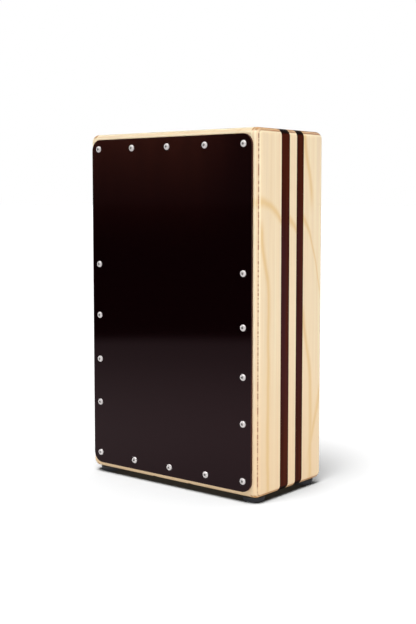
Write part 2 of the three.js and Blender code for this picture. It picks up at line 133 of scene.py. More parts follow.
# %% [markdown]
# ## Writing a finish as a recipe
# A procedural material is a small web of nodes. Spelled out in code it takes many lines, so a short class
# keeps the common moves: a step of arithmetic, a fade, a stretched noise, a mix of two colours and a
# relief. Places are read from Object coordinates, because they stay fixed to a piece.

# %% A finish is a recipe of nodes
def shade(red, green, blue):
    """A colour as a screen shows it, 0 to 255, turned into the light values that shaders use."""
    light = []
    for value in (red / 255, green / 255, blue / 255):
        light.append(value / 12.92 if value <= 0.04045 else ((value + 0.055) / 1.055) ** 2.4)
    return (*light, 1.0)


class Recipe:
    """A web of nodes. Each call adds nodes and gives back the socket that the next call uses."""

    def __init__(self, tree):
        self.nodes, self.links = tree.nodes, tree.links
        self.nodes.clear()

    def node(self, kind, inputs, **settings):
        """Adds a node. An input takes a number, a colour or another node's socket."""
        node = self.nodes.new("ShaderNode" + kind)
        for key, value in settings.items():
            setattr(node, key, value)
        for key, value in inputs.items():
            if isinstance(value, bpy.types.NodeSocket):
                self.links.new(value, node.inputs[key])
            else:
                node.inputs[key].default_value = value
        return node

    def calc(self, operation, first, second=0.0, third=0.0):
        """One step of arithmetic, such as ADD, SINE or MULTIPLY_ADD."""
        return self.node("Math", {0: first, 1: second, 2: third}, operation=operation).outputs[0]

    def both(self, first, second):
        """Two shares multiplied, which is high only where both are high."""
        return self.calc("MULTIPLY", first, second)

    def fade(self, value, start, end):
        """0 at start and 1 at end, with a soft curve between them."""
        inputs = {"Value": value, "From Min": start, "From Max": end}
        return self.node("MapRange", inputs, interpolation_type="SMOOTHSTEP").outputs[0]

    def between(self, share, first, second):
        """A number that goes from the first to the second while share goes from 0 to 1."""
        return self.node("Mix", {0: share, 2: first, 3: second}).outputs[0]


class Finish(Recipe):
    """A procedural material, with the place of a point in metres and in millimetres."""

    def __init__(self, name, slot):
        self.slot = slot
        self.material = bpy.data.materials.new(name)
        self.material.use_nodes = True
        super().__init__(self.material.node_tree)
        coordinates = self.node("TexCoord", {})
        self.place, self.facing = coordinates.outputs["Object"], coordinates.outputs["Normal"]
        self.x, self.y, self.z = self.node("SeparateXYZ", {0: self.stretched(MM, MM, MM)}).outputs

    def stretched(self, x, y, z, shift=0.0):
        """Places scaled so that one unit of pattern is x, y and z metres long."""
        inputs = {"Vector": self.place, "Scale": (1 / x, 1 / y, 1 / z), "Location": (shift,) * 3}
        return self.node("Mapping", inputs).outputs[0]

    def noise(self, x, y, z, detail=2.0, shift=0.0, kink=0.0):
        """Soft noise from 0 to 1 whose waves are x, y and z millimetres long."""
        vector = self.stretched(x * MM, y * MM, z * MM, shift)
        inputs = {"Vector": vector, "Scale": 1.0, "Detail": detail, "Roughness": 0.55, "Distortion": kink}
        return self.node("TexNoise", inputs).outputs[0]

    def line(self, value, middle, width):
        """1 where the value is at the middle, fading to 0 at half the width on either side."""
        away = self.calc("ABSOLUTE", self.calc("SUBTRACT", value, middle))
        return self.fade(away, width / 2, 0.0)

    def cut_end(self, grain, start, end):
        """1 where the surface is cut across the grain and 0 where it runs along it."""
        facing = self.node("SeparateXYZ", {0: self.facing}).outputs["xyz".index(grain)]
        return self.fade(self.calc("ABSOLUTE", facing), start, end)

    def mix(self, share, first, second):
        """The first colour where share is 0 and the second where it is 1."""
        return self.node("Mix", {0: share, 6: first, 7: second}, data_type="RGBA").outputs[2]

    def mix_in(self, colour, other, pattern, start, end, share):
        """Mixes in up to a share of another colour, as a pattern goes from start to end."""
        return self.mix(self.both(self.fade(pattern, start, end), share), colour, other)

    def relief(self, height, depth, strength=1.0):
        """Tilts the surface as if it were raised by up to this depth, in millimetres."""
        inputs = {"Height": height, "Distance": depth * MM, "Strength": strength}
        return self.node("Bump", inputs).outputs[0]

    def surface(self, **inputs):
        """Ends the recipe with the Principled shader, whose inputs are given by name."""
        named = {key.replace("_", " "): value for key, value in inputs.items()}
        shader = self.node("BsdfPrincipled", named)
        self.node("OutputMaterial", {"Surface": shader.outputs[0]})
        print(self.material.name, "uses", len(self.nodes), "nodes")


# %% [markdown]
# ## The figure of the birch
# Birch is plain, with fine upright streaks and a few soft tan rings where the veneer was cut across a
# year's growth. A ring shows as an arch or as a leg that wanders down the board. On the sides each ring is
# drawn as a curve through a few places, because that makes one believable board. The other panels get
# nested arches from one repeated curve.

# %% Rings of the sides
ARCH = (
    # the arch's centre, its peak and its bend, each in the front, the middle and the rear strip
    (-66, -30, 22), (392, 379.5, 371.5), (0.0135, 0.0135, 0.045),
)
LEGS = (
    # place below, place above, bends between two heights, fades in and out over two pairs of heights, width
    (-50, -64, (270, 350), (-10, 0), (350, 375), 14),
    (48, 28, (135, 265), (-10, 0), (240, 262), 14),
    (44, 74, (30, 160), (20, 60), (130, 165), 14),
    (48, 30, (395, 480), (370, 410), (485, 495), 15),
)


def side_rings(wood, waver):
    """An arch across the strips, each strip carrying it on in its own way, and four wandering legs."""
    # the dark stripes hide the places where one strip's ring ends and the next one's begins
    past_front, past_rear = wood.fade(wood.y, -14.0, -12.0), wood.fade(wood.y, 20.0, 22.0)

    def strips(front, middle, rear):
        return wood.between(past_rear, wood.between(past_front, front, middle), rear)

    centre, peak, bend = (strips(*values) for values in ARCH)
    away = wood.calc("SUBTRACT", wood.y, centre)
    bow = wood.both(bend, wood.both(away, away))
    height = wood.calc("ADD", wood.calc("MULTIPLY_ADD", waver, 16.0, wood.z), bow)
    rings = wood.line(wood.calc("SUBTRACT", height, peak), 0.0, 20.0)
    wander = wood.calc("MULTIPLY_ADD", waver, 7.0, wood.y)
    for below, above, bends, fades_in, fades_out, width in LEGS:
        place = wood.between(wood.fade(wood.z, *bends), below, above)
        leg = wood.line(wood.calc("SUBTRACT", wander, place), 0.0, width)
        shown = wood.both(wood.fade(wood.z, *fades_in), wood.fade(wood.z, *reversed(fades_out)))
        rings = wood.calc("MAXIMUM", rings, wood.both(leg, shown))
    return rings


def nested_arches(wood, along, over, waver):
    """Arches inside one another, one for each year."""
    off_centre = wood.calc("ADD", over, 24.0)
    bow = wood.both(wood.both(off_centre, off_centre), 0.0105)
    height = wood.calc("ADD", wood.calc("MULTIPLY_ADD", waver, 60.0, along), bow)
    years = wood.calc("PINGPONG", wood.calc("POWER", wood.calc("MAXIMUM", height, 0.0), 1.12), 105.0)
    late = wood.fade(wood.noise(60, 60, 60, detail=1.0, shift=15.0), 0.3, 0.7)
    return wood.both(wood.line(years, 50.0, 26.0), wood.between(late, 0.1, 0.6))


# %% [markdown]
# ## Birch plywood
# The box is birch plywood: a pale face veneer, a glue line a little over 2 mm down, and a core whose plies
# are pale and tan in turn. Where a rounded edge cuts across the fibres, their ends drink in the lacquer and
# turn orange brown, in every second ply. Low down the colour is painted darker and warmer, as painted shade
# near the floor, and a pale band in the face veneer along the roundings is a painted highlight. A picture
# of wood would repeat itself. Nodes that know how deep a point lies below the face, and how the surface is
# turned to the grain, give the same wood everywhere.

# %% Birch plywood
birch_face = shade(245, 222, 186)
birch_fibre = shade(233, 205, 163)
birch_blush = shade(232, 208, 178)
birch_ring = shade(230, 191, 126)
birch_low_shade = shade(237, 202, 158)
birch_pale = shade(253, 241, 206)
birch_end = shade(194, 138, 76)
birch_pore = shade(118, 74, 40)
glue_brown = shade(146, 82, 44)
face_veneer = 2.2
core_ply = 2.5


def waves(grain, wide, long):
    """The lengths of a noise's waves, long along the grain."""
    return [long if axis == grain else wide for axis in "xyz"]


def birch(name, grain, across, through, face, glue_share=1.0):
    """Birch plywood whose grain and width lie along two axes, and whose face is at a place on the third."""
    wood = Finish(name, "birch_ply")
    at = {"x": wood.x, "y": wood.y, "z": wood.z}
    along, over = at[grain], at[across]
    depth = wood.calc("ABSOLUTE", wood.calc("SUBTRACT", face, wood.calc("ABSOLUTE", at[through])))
    fibres = wood.noise(*waves(grain, 1.6, 90), detail=3.0)
    streaks = wood.noise(*waves(grain, 7, 420), detail=2.0, shift=3.0)
    pale_streaks = wood.noise(*waves(grain, 8, 600), detail=2.0, shift=13.0)
    blush = wood.noise(*waves(grain, 11, 380), detail=1.0, shift=7.0)
    colour = wood.mix_in(birch_face, birch_fibre, fibres, 0.35, 0.8, 0.4)
    colour = wood.mix_in(colour, birch_fibre, streaks, 0.5, 0.75, 0.4)
    colour = wood.mix_in(colour, birch_pale, pale_streaks, 0.5, 0.75, 0.38)
    colour = wood.mix_in(colour, birch_blush, blush, 0.5, 0.7, 0.5)
    # Painted shade: towards the bottom the colour turns darker and warmer.
    low = wood.fade(wood.z, 260.0, 10.0)
    colour = wood.mix(wood.both(low, 0.55), colour, birch_low_shade)

    waver = wood.calc("SUBTRACT", wood.noise(*waves(grain, 34, 80), detail=2.0, shift=11.0), 0.5)
    if name == "birch_side":
        rings = side_rings(wood, waver)
    else:
        rings = nested_arches(wood, along, over, waver)
    colour = wood.mix(wood.both(rings, 0.68), colour, birch_ring)

    # core is above 0 in the plies that lie across the grain and below 0 in those along it, and also below 0
    # in the face veneer, where the pale band it brings is a painted highlight along the roundings
    below_veneer = wood.calc("SUBTRACT", depth, face_veneer)
    core = wood.calc("SINE", wood.both(below_veneer, math.pi / core_ply))
    core = wood.both(core, wood.fade(depth, 0.3, 1.2))
    colour = wood.mix_in(colour, birch_fibre, core, 0.0, 0.8, 0.45)
    # pale plies, and the painted highlight in the face veneer; near the floor they take the painted low
    # shade
    pale_ply_and_painted_light = wood.mix(low, birch_pale, birch_low_shade)
    colour = wood.mix_in(colour, pale_ply_and_painted_light, core, 0.0, -0.8, 0.6)

    cut_across = wood.cut_end(grain, 0.4, 0.66)
    pores = wood.noise(1.6, 1.6, 1.6, detail=2.0, shift=2.0)
    # dark pores grow more common along the across axis, from front to rear on the sides, top and bottom
    dark_pore_share = wood.calc("MULTIPLY_ADD", wood.fade(over, -60.0, 70.0), 0.12, pores)
    end_colour = wood.mix(wood.fade(dark_pore_share, 0.45, 0.7), birch_end, birch_pore)
    along_plies = wood.between(wood.fade(core, -0.2, 0.4), 0.95, 0.55)
    colour = wood.mix(wood.both(cut_across, along_plies), colour, end_colour)

    gaps = wood.fade(wood.noise(*waves(grain, 20, 3.2), detail=1.0, shift=9.0), 0.38, 0.58)
    glue = wood.both(wood.line(depth, face_veneer, 1.8), wood.calc("MULTIPLY_ADD", gaps, 0.6, 0.4))
    colour = wood.mix(wood.both(glue, glue_share), colour, glue_brown)

    grain_relief = wood.relief(wood.calc("SUBTRACT", 1.0, fibres), 0.05, 0.5)
    wood.surface(
        Base_Color=colour, Roughness=wood.between(cut_across, 0.42, 0.7), Normal=grain_relief,
        Coat_Weight=0.1, Coat_Roughness=0.25,
    )
    return wood


side_face, back_face, top_face = (reach / MM for reach in solid_high)
feet_height = 7.0
side_birch = birch("birch_side", "z", "y", "x", side_face)
top_birch = birch("birch_top", "x", "y", "z", top_face, glue_share=0.15)
bottom_birch = birch("birch_bottom", "x", "y", "z", feet_height, glue_share=0.3)
back_birch = birch("birch_back", "z", "x", "y", back_face)

# %% [markdown]
# ## Dark stripes
# Each stripe is dark, red-brown hardwood, glued into a groove. It has long fibres a shade lighter, turns
# from red to plum and back along its length, and its cut ends on the roundings are almost black.

# %% Dark stripe wood
stripe_face = shade(54, 17, 7)
stripe_light = shade(86, 32, 14)
stripe_plum = shade(60, 27, 31)
stripe_end = shade(14, 4, 2)


def dark_hardwood():
    wood = Finish("dark_hardwood", "dark_inlay")
    fibres = wood.noise(1.4, 1.4, 120, detail=3.0)
    tone = wood.noise(14, 14, 260, detail=1.0, shift=4.0)
    middle_part = wood.both(wood.fade(wood.z, 420.0, 330.0), wood.fade(wood.z, 60.0, 190.0))
    plum = wood.both(middle_part, wood.fade(wood.noise(9, 9, 150, shift=8.0), 0.35, 0.6))
    colour = wood.mix_in(stripe_face, stripe_light, fibres, 0.4, 0.8, 0.5)
    colour = wood.mix_in(colour, stripe_light, tone, 0.45, 0.7, 0.5)
    colour = wood.mix(wood.both(plum, 0.7), colour, stripe_plum)
    colour = wood.mix(wood.cut_end("z", 0.2, 0.5), colour, stripe_end)
    normal = wood.relief(fibres, 0.04, 0.5)
    wood.surface(Base_Color=colour, Roughness=0.5, Normal=normal, Specular_IOR_Level=0.05)
    return wood


stripe_wood = dark_hardwood()

# %% [markdown]
# ## One hull, sliced into panels
# The real box is glued up first and rounded over afterwards, so every rounding runs on from panel to
# panel. Panels rounded one by one would have steps at the joints. It is easier to do as the workshop does:
# bevel all edges of one block, then cut it apart with planes, and close each cut.

# %% Blocks and slices
SIDES = {"left": -1, "right": 1}
X, Y, Z = 0, 1, 2


def round_over(bm, edges, radius, segments):
    """Rounds some edges of a shape by a radius in millimetres."""
    bmesh.ops.bevel(
        bm, geom=edges, offset=radius * MM, offset_type="OFFSET", segments=segments, profile=0.5,
        affect="EDGES", material=-1,
    )


def block(low, high, radius=0.0, segments=1):
    """A box between two corners, in millimetres, with its edges rounded if a radius is given."""
    low, high = Vector(low) * MM, Vector(high) * MM
    bm = bmesh.new()
    bmesh.ops.create_cube(bm, size=1.0)
    bmesh.ops.scale(bm, vec=high - low, verts=bm.verts)
    bmesh.ops.translate(bm, vec=(low + high) / 2, verts=bm.verts)
    if radius:
        round_over(bm, bm.edges[:], radius, segments)
    return bm


def keep_between(bm, axis, low, high):
    """Cuts away what lies beyond two planes across an axis, and closes the cuts."""
    for place, way in ((low, -1), (high, 1)):
        point, normal = Vector(), Vector()
        point[axis], normal[axis] = place * MM, way
        everything = bm.verts[:] + bm.edges[:] + bm.faces[:]
        cut = bmesh.ops.bisect_plane(bm, geom=everything, plane_co=point, plane_no=normal, clear_outer=True)
        rim = [item for item in cut["geom_cut"] if isinstance(item, bmesh.types.BMEdge)]
        if rim:
            bmesh.ops.holes_fill(bm, edges=rim)


half_width, bottom, top = 150, feet_height, 487
box_front, box_rear = -73.4, 78.6
edge_radius = 10
hull = block((-half_width, box_front, bottom), (half_width, box_rear, top), edge_radius, segments=12)
print("hull with", len(hull.faces), "faces")

# %% [markdown]
# Grooves, rebates and holes are cut with a second shape. An inset can't do that on a face that is already
# rounded, but a Boolean can: it runs once on two throwaway objects, and its result is plain mesh.

# %% Cutting one shape with another
def as_mesh(name, bm):
    """Turns a finished shape into a mesh."""
    mesh = bpy.data.meshes.new(name)
    bm.to_mesh(mesh)
    bm.free()
    return mesh


def carve(bm, *cutters):
    """Takes the cutters away from a shape, one after another, and gives back the new shape."""
    for cutter in cutters:
        pair = [add_object("throwaway", as_mesh("throwaway", part)) for part in (bm, cutter)]
        cut = pair[0].modifiers.new("cut", "BOOLEAN")
        cut.operation, cut.solver, cut.object = "DIFFERENCE", "EXACT", pair[1]
        bm = bmesh.new()
        bm.from_object(pair[0], bpy.context.evaluated_depsgraph_get())
        for item in pair:
            mesh = item.data
            bpy.data.objects.remove(item)
            bpy.data.meshes.remove(mesh)
    return bm


# %% [markdown]
# A finished piece takes the place of its solid: it rides on the same body, and the solid is hidden.
# Curves are shaded smooth, and an edge sharper than 30 degrees stays an edge. A Bevel modifier then
# breaks it by a few tenths of a millimetre, because no real edge is quite sharp, and a bright line along it
# makes a small part look solid.

# %% Finished pieces
sharp = math.radians(30)


def piece(name, bm, finish, node, body="drum_box", edge=0.15, others=()):
    """Turns a shape into a piece that stands for a solid, with its finishes and its broken edges."""
    for face in bm.faces:
        face.smooth = True
    for line in bm.edges:
        line.smooth = len(line.link_faces) == 2 and line.calc_face_angle(0.0) < sharp
    mesh = as_mesh(name, bm)
    for each in (finish, *others):
        mesh.materials.append(each.material)
    made = add_object(name, mesh)
    if body:
        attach(made, body)
    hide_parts(node)
    if edge:
        soften(made, edge)
    return made


def soften(made, width):
    """Breaks the sharp edges of a piece by a width in millimetres."""
    bevel = made.modifiers.new("broken_edges", "BEVEL")
    bevel.width, bevel.segments, bevel.limit_method, bevel.angle_limit = width * MM, 2, "ANGLE", sharp
    bevel.harden_normals = True


# %% [markdown]
# ## The box
# Side panels run the full height, and the top and bottom panels sit between them. All four have a rebate
# at the back for the thin back panel. The stripes are slices of the same hull, taken from the grooves.

# %% Side panels and stripes
panel = 12
inner_wall = half_width - panel
rebate_width = 5
rebate_bottom, rebate_top = bottom + panel - rebate_width, top - panel + rebate_width
back_front, behind = 73.6, 85
stripe_depth = 9.5
stripes = {"front": (-22.4, -3.9), "rear": (12.6, 28.6)}
beyond = 4  # how far a cutter stands past the face that it cuts


def mirrored(low, high, side):
    """The x range of something on the left or right side, given as distances from the middle."""
    return sorted((side * low, side * high))


for side_name, side in SIDES.items():
    board = hull.copy()
    keep_between(board, X, *mirrored(inner_wall, half_width + beyond, side))
    low_x, high_x = mirrored(inner_wall - beyond, inner_wall + rebate_width, side)
    cutters = [block((low_x, back_front, rebate_bottom), (high_x, behind, rebate_top))]
    for stripe_name, (front, rear) in stripes.items():
        groove_low, groove_high = mirrored(half_width - stripe_depth, half_width + beyond, side)
        cutters.append(block((groove_low, front, bottom - beyond), (groove_high, rear, top + beyond)))
        strip = hull.copy()
        keep_between(strip, X, groove_low, groove_high)
        keep_between(strip, Y, front, rear)
        node = f"{side_name}_{stripe_name}_stripe"
        piece(node + "_wood", strip, stripe_wood, node, edge=0.1)
    board = carve(board, *cutters)
    piece(f"{side_name}_side_board", board, side_birch, f"{side_name}_side_panel", edge=0.1)
print("sides and stripes done")

# %% [markdown]
# ## Turned shapes
# Holes, screws, feet, washers and the strings' balls are all round. Each one is half an outline, spun about
# an axis as on a lathe, which gives a rounding as easily as a straight wall.

# %% Turned shapes
def turned(profile, steps, low_axis=(0, 0, 0), axis=(0, 0, 1)):
    """A round form from [radius, height] pairs in millimetres, spun about an axis."""
    bm = bmesh.new()
    points = [bm.verts.new((radius * MM, 0, height * MM)) for radius, height in profile]
    lines = [bm.edges.new(pair) for pair in zip(points, points[1:])]
    bmesh.ops.spin(
        bm, geom=points + lines, cent=(0, 0, 0), axis=(0, 0, 1), angle=math.tau, steps=steps,
        use_merge=True,
    )
    bmesh.ops.remove_doubles(bm, verts=bm.verts, dist=0.001 * MM)
    bmesh.ops.recalc_face_normals(bm, faces=bm.faces)
    upright = Vector((0, 0, 1)).rotation_difference(Vector(axis)).to_matrix().to_4x4()
    bmesh.ops.transform(bm, matrix=Matrix.Translation(Vector(low_axis) * MM) @ upright, verts=bm.verts)
    return bm


def drill(x, y, low, high, diameter, steps=32):
    """A round cutter for an upright hole."""
    radius = diameter / 2
    return turned([(0, low), (radius, low), (radius, high), (0, high)], steps, (x, y, 0))


# %% [markdown]
# ## Top and bottom
# Both are slices of the hull with the same rebate as the sides. The bottom panel also has blind holes for
# the foot screws and a stepped hole for the head and shaft of each string adjuster.

# %% Top and bottom panels
lid = hull.copy()
keep_between(lid, X, -inner_wall, inner_wall)
keep_between(lid, Z, top - panel, top + beyond)
rebate = block((-half_width, back_front, top - panel - beyond), (half_width, behind, rebate_top))
lid = carve(lid, rebate)
piece("top_board", lid, top_birch, "top_panel", edge=0.1)

foot_places = [(x, y) for x in (-130, 130) for y in (-53.4, 58.6)]
foot_hole_top, foot_hole_width = 15.9, 3.6
adjuster_places = [(-32, -64.4), (32, -64.4)]
shaft_hole_width, head_hole_width, head_hole_top = 5.6, 10.6, 15

base = hull.copy()
keep_between(base, X, -inner_wall, inner_wall)
keep_between(base, Z, bottom - beyond, bottom + panel)
holes = [block((-half_width, back_front, rebate_bottom), (half_width, behind, bottom + panel + beyond))]
for x, y in foot_places:
    holes.append(drill(x, y, 0, foot_hole_top, foot_hole_width))
for x, y in adjuster_places:
    holes.append(drill(x, y, 0, bottom + panel + beyond, shaft_hole_width))
    holes.append(drill(x, y, 0, head_hole_top, head_hole_width, 48))
base = carve(base, *holes)
piece("bottom_board", base, bottom_birch, "bottom_panel", edge=0.1)
print("top and bottom with", len(holes) - 1, "holes")

# %% [markdown]
# ## The back
# The thin back panel lies in the rebates. Its round sound hole has edges rounded over by hand. The cutter
# widens at both faces, so that one cut makes the hole and both roundings.

# %% Back panel
def quarter_round(middle_radius, middle_height, radius, start, end, count=8):
    """Points of a rounding in a profile, between two angles in degrees."""
    points = []
    for step in range(count + 1):
        angle = math.radians(start + (end - start) * step / count)
        points.append((middle_radius + radius * math.cos(angle), middle_height + radius * math.sin(angle)))
    return points


sound_hole_radius, sound_hole_height = 55, 257
hole_rounding = 1.5
back_thickness = 5
wide = sound_hole_radius + hole_rounding
hole_profile = [(0, -beyond), (wide, -beyond)]
hole_profile += quarter_round(wide, hole_rounding, hole_rounding, 270, 180)
hole_profile += quarter_round(wide, back_thickness - hole_rounding, hole_rounding, 180, 90)
hole_profile += [(wide, back_thickness + beyond), (0, back_thickness + beyond)]

rear = hull.copy()
keep_between(rear, X, -inner_wall - rebate_width, inner_wall + rebate_width)
keep_between(rear, Y, back_front, behind)
keep_between(rear, Z, rebate_bottom, rebate_top)
rear = carve(rear, turned(hole_profile, 96, (0, back_front, sound_hole_height), axis=(0, 1, 0)))
piece("back_board", rear, back_birch, "back_panel", edge=0.1)
hull.free()
print("back done")

# %% [markdown]
# ## The tapa
# The tapa is 3 mm plywood, stained nearly black and sprayed with many coats of clear lacquer, then
# polished. It mirrors the studio: dark in its upper half, and paler below, where it shows the floor. Near
# its top a faint red-brown sheen is painted into its colour, a painted highlight that dims towards the
# right edge and is broken up by the wood's figure. The spray doesn't reach everywhere: the edge shows its
# stain, and the inner face is bare wood.

# %% Tapa lacquer
tapa_dark = shade(11, 2, 3)
tapa_painted_sheen = shade(44, 18, 13)
lacquer_tint = shade(255, 203, 213)
painted_sheen_from, painted_sheen_length = 300, 180


def black_lacquer():
    coat = Finish("dark_gloss_lacquer", "tapa_lacquer")
    figure = coat.noise(26, 26, 170, detail=2.0)
    # Painted sheen: a red-brown that grows towards the top and dims towards the right edge, broken up by
    # the figure.
    above = coat.calc("MULTIPLY_ADD", coat.z, 1 / painted_sheen_length, -painted_sheen_from / painted_sheen_length)
    sheen_by_height = coat.calc("POWER", coat.calc("MAXIMUM", above, 0.0), 2.4)
    sheen_by_side = coat.between(coat.fade(coat.x, 140.0, 20.0), 0.2, 1.0)
    sheen_share = coat.both(coat.both(sheen_by_height, sheen_by_side), coat.calc("MULTIPLY_ADD", figure, 0.8, 0.6))
    colour = coat.mix(sheen_share, tapa_dark, tapa_painted_sheen)
    swell = coat.noise(60, 60, 60, detail=1.0, shift=6.0)
    normal = coat.relief(swell, 0.02, 0.3)
    coat.surface(Base_Color=colour, Roughness=0.06, Normal=normal, Specular_Tint=lacquer_tint)
    return coat


lacquer = black_lacquer()


def tapa_wood(name, face, fibre, roughness):
    """The tapa's own plywood, where no lacquer covers it."""
    wood = Finish(name, "tapa_lacquer")
    fibres = wood.noise(1.4, 1.4, 60, detail=3.0)
    bands = wood.noise(14, 14, 240, detail=2.0, shift=5.0)
    figure = wood.calc("MAXIMUM", wood.fade(fibres, 0.35, 0.8), wood.fade(bands, 0.45, 0.7))
    colour = wood.mix(wood.both(figure, 0.8), face, fibre)
    wood.surface(Base_Color=colour, Roughness=roughness, Normal=wood.relief(fibres, 0.05, 0.5))
    return wood


stained_edge = tapa_wood("stained_edge", shade(74, 26, 17), shade(40, 14, 10), 0.6)
bare_back = tapa_wood("bare_back", shade(226, 200, 160), shade(204, 172, 128), 0.65)

# %% [markdown]
# The board is a flat block with its four short edges rounded over, and a hole for each screw. The holes'
# places come from the solids, so that holes and screws can't drift apart. The outer face is lacquered, the
# edges and the holes' walls are stained, and the inner face stays bare.

# %% Tapa board
tapa_low, tapa_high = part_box("tapa")
corner_radius = 15
screw_hole_radius = 2.05
LACQUERED, STAINED, BARE = 0, 1, 2

tapa = block(tapa_low / MM, tapa_high / MM)
corners = [line for line in tapa.edges if abs((line.verts[0].co - line.verts[1].co).y) > 1 * MM]
round_over(tapa, corners, corner_radius, segments=16)


def nodes_named(part):
    """The solids whose names hold a word, sorted."""
    return sorted(name for name in frame["nodes"] if part in name)


screw_nodes = nodes_named("tapa_screw")
screw_places = []
for name in screw_nodes:
    low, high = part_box(name)
    screw_places.append(((low.x + high.x) / 2 / MM, (low.z + high.z) / 2 / MM))
tapa_y = (tapa_low.y + tapa_high.y) / 2 / MM
wall = [(0, -beyond), (screw_hole_radius, -beyond), (screw_hole_radius, beyond), (0, beyond)]
tapa = carve(tapa, *(turned(wall, 24, (x, tapa_y, z), axis=(0, 1, 0)) for x, z in screw_places))
for face in tapa.faces:
    if abs(face.normal.y) < 0.5:
        face.material_index = STAINED
    else:
        face.material_index = BARE if face.normal.y > 0 else LACQUERED
piece("tapa_board", tapa, lacquer, "tapa", edge=0.4, others=[stained_edge, bare_back])
print("tapa with", len(screw_places), "screw holes")

# %% [markdown]
# ## Metals
# Zinc plate is a soft, milky metal, which scatters more light than steel. Any metal looks real when its
# tone and its gloss both vary a little, so one recipe with fine grime serves them all.

# %% Metals
def metal(name, slot, colour, worn, roughness, metallic, coarse=0.6):
    """A metal with fine wear: its tone and its relief both vary a little over the surface."""
    plate = Finish(name, slot)
    grime = plate.noise(coarse, coarse, coarse, detail=3.0)
    tint = plate.mix_in(colour, worn, grime, 0.35, 0.75, 0.5)
    gloss = plate.calc("MULTIPLY_ADD", grime, 0.16, roughness - 0.08)
    normal = plate.relief(grime, 0.02, 0.4)
    plate.surface(Base_Color=tint, Roughness=gloss, Metallic=metallic, Normal=normal)
    return plate


zinc = metal("zinc_plate", "zinc_steel", shade(236, 230, 229), shade(210, 205, 204), 0.38, 0.3)
# A darker zinc for the screws' recesses: painted shade.
recess = metal("screw_recess_shade", "zinc_steel", shade(138, 133, 131), shade(98, 95, 94), 0.5, 0.3)
steel = metal("plain_steel", "plain_steel", shade(178, 180, 184), shade(146, 147, 152), 0.34, 0.5)
brass = metal("brass", "brass", shade(216, 180, 100), shade(180, 140, 68), 0.32, 0.6)

# %% [markdown]
# ## Screws
# The tapa is held by pan-head screws with a cross recess. Each head is a spun dome, and the recess is cut
# with two crossed wedges, whose walls get a darker zinc as painted shade. One screw is modelled, and each
# copy is turned differently, because nobody lines up screw slots.

# %% Screws
def pan_head(radius, height, shank, length):
    """A pan-head screw: head below height 0 and shank above it, with a cross recess in the head."""
    rim = 0.3  # share of the head's height that its straight rim takes
    wing_length, wing_width, deep = 0.56 * radius, 0.19 * radius, -0.5 * height

    def crown(share):
        return -height * (rim + (1 - rim) * math.sqrt(max(0.0, 1 - share ** 2.5)))

    profile = [(radius * step / 12, crown(step / 12)) for step in range(13)]
    profile += [(radius, 0), (shank, 0), (shank, length - 2 * shank), (0, length)]
    screw = turned(profile, 40)
    wings = []
    for angle in (0, math.pi / 2):
        wing = block((-wing_length, -wing_width, -height - 1), (wing_length, wing_width, deep))
        tip = [vert for vert in wing.verts if vert.co.z > -height * MM]
        bmesh.ops.scale(wing, vec=(0.45, 0.7, 1), verts=tip)
        bmesh.ops.rotate(wing, matrix=Matrix.Rotation(angle, 3, "Z"), verts=wing.verts)
        wings.append(wing)
    screw = carve(screw, *wings)
    # Faces inside the recess, below the crown, take the darker zinc as painted shade.
    for face in screw.faces:
        centre = face.calc_center_median() / MM
        share = math.hypot(centre.x, centre.y) / radius
        if share < 0.7 and crown(share) + 0.05 < centre.z < 0:
            face.material_index = 1
    return screw


def place_screws(nodes, radius, height, shank, length, way):
    """Puts a copy of a screw at each node, with its shank pointing along an axis and its cross turned."""
    sample = pan_head(radius, height, shank, length)
    way = Vector(way)
    axis = next(index for index in (X, Y, Z) if way[index])
    stand = Vector((0, 0, 1)).rotation_difference(way).to_matrix().to_4x4()
    for index, node in enumerate(nodes):
        low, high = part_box(node)
        seat = (low + high) / 2
        seat[axis] = (low if way[axis] > 0 else high)[axis] + way[axis] * height * MM
        twist = Matrix.Rotation(math.radians(37 * index + 11 * index * index), 4, "Z")
        copy = sample.copy()
        bmesh.ops.transform(copy, matrix=Matrix.Translation(seat) @ stand @ twist, verts=copy.verts)
        piece(node + "_plated", copy, zinc, node, edge=0.06, others=[recess])
    sample.free()
    print(len(nodes), "screws such as", nodes[0])


place_screws(screw_nodes, radius=4.4, height=2.2, shank=1.75, length=15.7, way=(0, 1, 0))

# %% [markdown]
# ## Small screws
# Smaller ones hold the feet, the string bar and the tensioner plate. They differ in length and in the way
# that they point, so the same two functions make them.

# %% Small screws
small_screws = {
    # length of the shank, and the way that it points
    "foot_screw": (11.7, (0, 0, 1)),
    "bar_screw": (23.7, (0, 0, 1)),
    "plate_screw": (11.7, (0, -1, 0)),
}
for kind, (length, way) in small_screws.items():
    place_screws(nodes_named(kind), radius=3.3, height=2, shank=1.5, length=length, way=way)

# %% [markdown]
# ## Feet
# Four rubber feet keep the box off the floor, each with a screw in a deep recess. Rubber is dull and very
# dark, with a fine grain. The outline is spun, its lower rim well rounded.

# %% Rubber feet
def black_rubber():
    rubber = Finish("black_rubber", "rubber")
    grain = rubber.noise(0.7, 0.7, 0.7, detail=3.0)
    dust = rubber.noise(9, 9, 5, detail=2.0, shift=4.0)
    colour = rubber.mix_in(shade(44, 44, 48), shade(66, 65, 68), dust, 0.45, 0.8, 0.5)
    rubber.surface(Base_Color=colour, Roughness=0.7, Normal=rubber.relief(grain, 0.06, 0.6))
    return rubber


